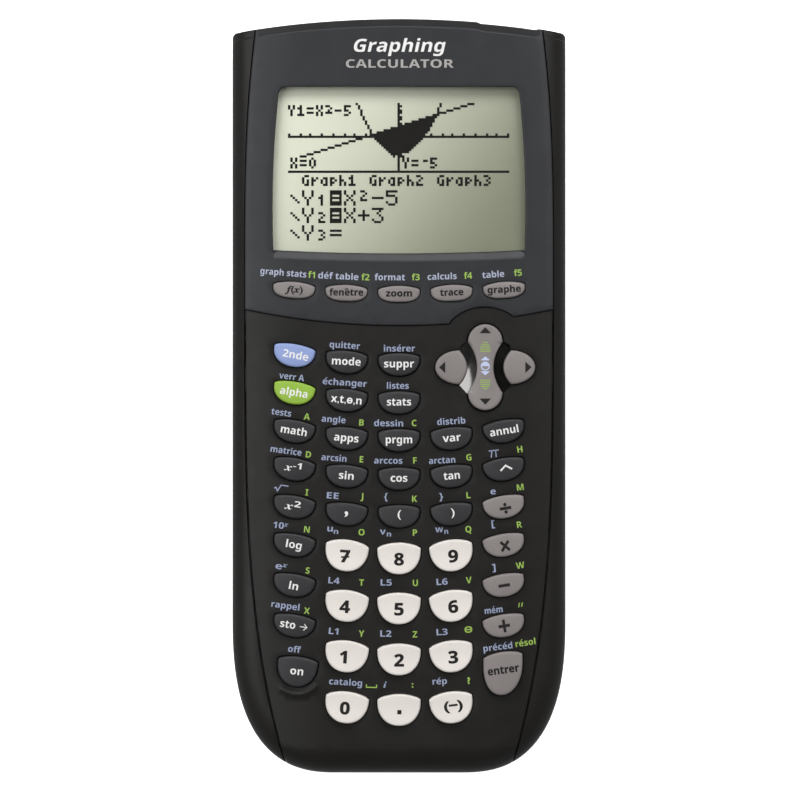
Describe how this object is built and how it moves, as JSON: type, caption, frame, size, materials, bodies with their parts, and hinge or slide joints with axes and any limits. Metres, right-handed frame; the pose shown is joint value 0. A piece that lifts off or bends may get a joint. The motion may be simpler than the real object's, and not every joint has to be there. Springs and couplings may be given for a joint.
{
  "type": "graphing calculator",
  "caption": "Handheld graphing calculator with a recessed display, arched rows of domed keys, a rocker arrow pad and a battery door in the back.",
  "frame": {"origin": "under the middle of the outline, on the surface that the four feet stand on", "axes": "+X to the right of the keypad, +Y towards the display end, +Z out of the keys"},
  "size_m": [0.084, 0.1896, 0.0225],
  "materials": {
    "case": "fine satin moulding, near black",
    "bezel": "satin blue-grey paint",
    "window": "clear, polished",
    "display": "satin grey-green reflective display",
    "rubber": "matt",
    "board": "solder mask",
    "cells": "satin metal jacket",
    "metal": "plated",
    "jack": "moulded black",
    "dark_key": "satin",
    "grey_key": "satin",
    "white_key": "satin",
    "blue_key": "satin",
    "green_key": "satin"
  },
  "bodies": {
    "casing": {"front_case": "case", "rear_case": "case", "screen_bezel": "bezel", "screen_window": "window", "lcd_module": "display", "key_mat": "rubber", "circuit_board": "board", "battery_set": "cells", "data_socket": "metal", "link_socket": "jack"},
    "battery_door": {"battery_door": "case"},
    "key_function_1": {"key_function_1": "grey_key"},
    "key_function_2": {"key_function_2": "grey_key"},
    "key_function_3": {"key_function_3": "grey_key"},
    "key_function_4": {"key_function_4": "grey_key"},
    "key_function_5": {"key_function_5": "grey_key"},
    "key_second": {"key_second": "blue_key"},
    "key_mode": {"key_mode": "dark_key"},
    "key_delete": {"key_delete": "dark_key"},
    "key_alpha": {"key_alpha": "green_key"},
    "key_variable": {"key_variable": "dark_key"},
    "key_stats": {"key_stats": "dark_key"},
    "key_math": {"key_math": "dark_key"},
    "key_apps": {"key_apps": "dark_key"},
    "key_program": {"key_program": "dark_key"},
    "key_vars": {"key_vars": "dark_key"},
    "key_clear": {"key_clear": "dark_key"},
    "key_inverse": {"key_inverse": "dark_key"},
    "key_sin": {"key_sin": "dark_key"},
    "key_cos": {"key_cos": "dark_key"},
    "key_tan": {"key_tan": "dark_key"},
    "key_power": {"key_power": "dark_key"},
    "key_square": {"key_square": "dark_key"},
    "key_comma": {"key_comma": "dark_key"},
    "key_open_bracket": {"key_open_bracket": "dark_key"},
    "key_close_bracket": {"key_close_bracket": "dark_key"},
    "key_divide": {"key_divide": "grey_key"},
    "key_log": {"key_log": "dark_key"},
    "key_multiply": {"key_multiply": "grey_key"},
    "key_ln": {"key_ln": "dark_key"},
    "key_minus": {"key_minus": "grey_key"},
    "key_store": {"key_store": "dark_key"},
    "key_plus": {"key_plus": "grey_key"},
    "key_7": {"key_7": "white_key"},
    "key_8": {"key_8": "white_key"},
    "key_9": {"key_9": "white_key"},
    "key_4": {"key_4": "white_key"},
    "key_5": {"key_5": "white_key"},
    "key_6": {"key_6": "white_key"},
    "key_1": {"key_1": "white_key"},
    "key_2": {"key_2": "white_key"},
    "key_3": {"key_3": "white_key"},
    "key_0": {"key_0": "white_key"},
    "key_point": {"key_point": "white_key"},
    "key_negative": {"key_negative": "white_key"},
    "key_on": {"key_on": "dark_key"},
    "key_enter": {"key_enter": "grey_key"},
    "key_left": {"key_left": "grey_key"},
    "key_right": {"key_right": "grey_key"},
    "key_up_down": {"key_up_down": "grey_key"}
  },
  "joints": [
    {"name": "battery_door_hinge", "type": "hinge", "parent": "casing", "child": "battery_door", "pos_m": [0, 0.0802, 0.0006], "axis": [1, 0, 0], "range_deg": [0, 70]},
    {"name": "rock_up_down", "type": "hinge", "parent": "casing", "child": "key_up_down", "pos_m": [0.0216, 0.00735, 0.0195], "axis": [1, 0, 0], "range_deg": [-4.5, 4.5], "stiffness_Nm_per_rad": 0.09},
    {"name": "press_function_1", "type": "slide", "parent": "casing", "child": "key_function_1", "axis": [0, 0, -1], "range_m": [0, 0.0012], "stiffness_N_per_m": 600},
    {"name": "press_function_2", "type": "slide", "parent": "casing", "child": "key_function_2", "axis": [0, 0, -1], "range_m": [0, 0.0012], "stiffness_N_per_m": 600},
    {"name": "press_function_3", "type": "slide", "parent": "casing", "child": "key_function_3", "axis": [0, 0, -1], "range_m": [0, 0.0012], "stiffness_N_per_m": 600},
    {"name": "press_function_4", "type": "slide", "parent": "casing", "child": "key_function_4", "axis": [0, 0, -1], "range_m": [0, 0.0012], "stiffness_N_per_m": 600},
    {"name": "press_function_5", "type": "slide", "parent": "casing", "child": "key_function_5", "axis": [0, 0, -1], "range_m": [0, 0.0012], "stiffness_N_per_m": 600},
    {"name": "press_second", "type": "slide", "parent": "casing", "child": "key_second", "axis": [0, 0, -1], "range_m": [0, 0.0012], "stiffness_N_per_m": 600},
    {"name": "press_mode", "type": "slide", "parent": "casing", "child": "key_mode", "axis": [0, 0, -1], "range_m": [0, 0.0012], "stiffness_N_per_m": 600},
    {"name": "press_delete", "type": "slide", "parent": "casing", "child": "key_delete", "axis": [0, 0, -1], "range_m": [0, 0.0012], "stiffness_N_per_m": 600},
    {"name": "press_alpha", "type": "slide", "parent": "casing", "child": "key_alpha", "axis": [0, 0, -1], "range_m": [0, 0.0012], "stiffness_N_per_m": 600},
    {"name": "press_variable", "type": "slide", "parent": "casing", "child": "key_variable", "axis": [0, 0, -1], "range_m": [0, 0.0012], "stiffness_N_per_m": 600},
    {"name": "press_stats", "type": "slide", "parent": "casing", "child": "key_stats", "axis": [0, 0, -1], "range_m": [0, 0.0012], "stiffness_N_per_m": 600},
    {"name": "press_math", "type": "slide", "parent": "casing", "child": "key_math", "axis": [0, 0, -1], "range_m": [0, 0.0012], "stiffness_N_per_m": 600},
    {"name": "press_apps", "type": "slide", "parent": "casing", "child": "key_apps", "axis": [0, 0, -1], "range_m": [0, 0.0012], "stiffness_N_per_m": 600},
    {"name": "press_program", "type": "slide", "parent": "casing", "child": "key_program", "axis": [0, 0, -1], "range_m": [0, 0.0012], "stiffness_N_per_m": 600},
    {"name": "press_vars", "type": "slide", "parent": "casing", "child": "key_vars", "axis": [0, 0, -1], "range_m": [0, 0.0012], "stiffness_N_per_m": 600},
    {"name": "press_clear", "type": "slide", "parent": "casing", "child": "key_clear", "axis": [0, 0, -1], "range_m": [0, 0.0012], "stiffness_N_per_m": 600},
    {"name": "press_inverse", "type": "slide", "parent": "casing", "child": "key_inverse", "axis": [0, 0, -1], "range_m": [0, 0.0012], "stiffness_N_per_m": 600},
    {"name": "press_sin", "type": "slide", "parent": "casing", "child": "key_sin", "axis": [0, 0, -1], "range_m": [0, 0.0012], "stiffness_N_per_m": 600},
    {"name": "press_cos", "type": "slide", "parent": "casing", "child": "key_cos", "axis": [0, 0, -1], "range_m": [0, 0.0012], "stiffness_N_per_m": 600},
    {"name": "press_tan", "type": "slide", "parent": "casing", "child": "key_tan", "axis": [0, 0, -1], "range_m": [0, 0.0012], "stiffness_N_per_m": 600},
    {"name": "press_power", "type": "slide", "parent": "casing", "child": "key_power", "axis": [0, 0, -1], "range_m": [0, 0.0012], "stiffness_N_per_m": 600},
    {"name": "press_square", "type": "slide", "parent": "casing", "child": "key_square", "axis": [0, 0, -1], "range_m": [0, 0.0012], "stiffness_N_per_m": 600},
    {"name": "press_comma", "type": "slide", "parent": "casing", "child": "key_comma", "axis": [0, 0, -1], "range_m": [0, 0.0012], "stiffness_N_per_m": 600},
    {"name": "press_open_bracket", "type": "slide", "parent": "casing", "child": "key_open_bracket", "axis": [0, 0, -1], "range_m": [0, 0.0012], "stiffness_N_per_m": 600},
    {"name": "press_close_bracket", "type": "slide", "parent": "casing", "child": "key_close_bracket", "axis": [0, 0, -1], "range_m": [0, 0.0012], "stiffness_N_per_m": 600},
    {"name": "press_divide", "type": "slide", "parent": "casing", "child": "key_divide", "axis": [0, 0, -1], "range_m": [0, 0.0012], "stiffness_N_per_m": 600},
    {"name": "press_log", "type": "slide", "parent": "casing", "child": "key_log", "axis": [0, 0, -1], "range_m": [0, 0.0012], "stiffness_N_per_m": 600},
    {"name": "press_multiply", "type": "slide", "parent": "casing", "child": "key_multiply", "axis": [0, 0, -1], "range_m": [0, 0.0012], "stiffness_N_per_m": 600},
    {"name": "press_ln", "type": "slide", "parent": "casing", "child": "key_ln", "axis": [0, 0, -1], "range_m": [0, 0.0012], "stiffness_N_per_m": 600},
    {"name": "press_minus", "type": "slide", "parent": "casing", "child": "key_minus", "axis": [0, 0, -1], "range_m": [0, 0.0012], "stiffness_N_per_m": 600},
    {"name": "press_store", "type": "slide", "parent": "casing", "child": "key_store", "axis": [0, 0, -1], "range_m": [0, 0.0012], "stiffness_N_per_m": 600},
    {"name": "press_plus", "type": "slide", "parent": "casing", "child": "key_plus", "axis": [0, 0, -1], "range_m": [0, 0.0012], "stiffness_N_per_m": 600},
    {"name": "press_7", "type": "slide", "parent": "casing", "child": "key_7", "axis": [0, 0, -1], "range_m": [0, 0.0012], "stiffness_N_per_m": 600},
    {"name": "press_8", "type": "slide", "parent": "casing", "child": "key_8", "axis": [0, 0, -1], "range_m": [0, 0.0012], "stiffness_N_per_m": 600},
    {"name": "press_9", "type": "slide", "parent": "casing", "child": "key_9", "axis": [0, 0, -1], "range_m": [0, 0.0012], "stiffness_N_per_m": 600},
    {"name": "press_4", "type": "slide", "parent": "casing", "child": "key_4", "axis": [0, 0, -1], "range_m": [0, 0.0012], "stiffness_N_per_m": 600},
    {"name": "press_5", "type": "slide", "parent": "casing", "child": "key_5", "axis": [0, 0, -1], "range_m": [0, 0.0012], "stiffness_N_per_m": 600},
    {"name": "press_6", "type": "slide", "parent": "casing", "child": "key_6", "axis": [0, 0, -1], "range_m": [0, 0.0012], "stiffness_N_per_m": 600},
    {"name": "press_1", "type": "slide", "parent": "casing", "child": "key_1", "axis": [0, 0, -1], "range_m": [0, 0.0012], "stiffness_N_per_m": 600},
    {"name": "press_2", "type": "slide", "parent": "casing", "child": "key_2", "axis": [0, 0, -1], "range_m": [0, 0.0012], "stiffness_N_per_m": 600},
    {"name": "press_3", "type": "slide", "parent": "casing", "child": "key_3", "axis": [0, 0, -1], "range_m": [0, 0.0012], "stiffness_N_per_m": 600},
    {"name": "press_0", "type": "slide", "parent": "casing", "child": "key_0", "axis": [0, 0, -1], "range_m": [0, 0.0012], "stiffness_N_per_m": 600},
    {"name": "press_point", "type": "slide", "parent": "casing", "child": "key_point", "axis": [0, 0, -1], "range_m": [0, 0.0012], "stiffness_N_per_m": 600},
    {"name": "press_negative", "type": "slide", "parent": "casing", "child": "key_negative", "axis": [0, 0, -1], "range_m": [0, 0.0012], "stiffness_N_per_m": 600},
    {"name": "press_on", "type": "slide", "parent": "casing", "child": "key_on", "axis": [0, 0, -1], "range_m": [0, 0.0012], "stiffness_N_per_m": 600},
    {"name": "press_enter", "type": "slide", "parent": "casing", "child": "key_enter", "axis": [0, 0, -1], "range_m": [0, 0.0012], "stiffness_N_per_m": 600},
    {"name": "press_left", "type": "slide", "parent": "casing", "child": "key_left", "axis": [0, 0, -1], "range_m": [0, 0.0012], "stiffness_N_per_m": 600},
    {"name": "press_right", "type": "slide", "parent": "casing", "child": "key_right", "axis": [0, 0, -1], "range_m": [0, 0.0012], "stiffness_N_per_m": 600}
  ]
}
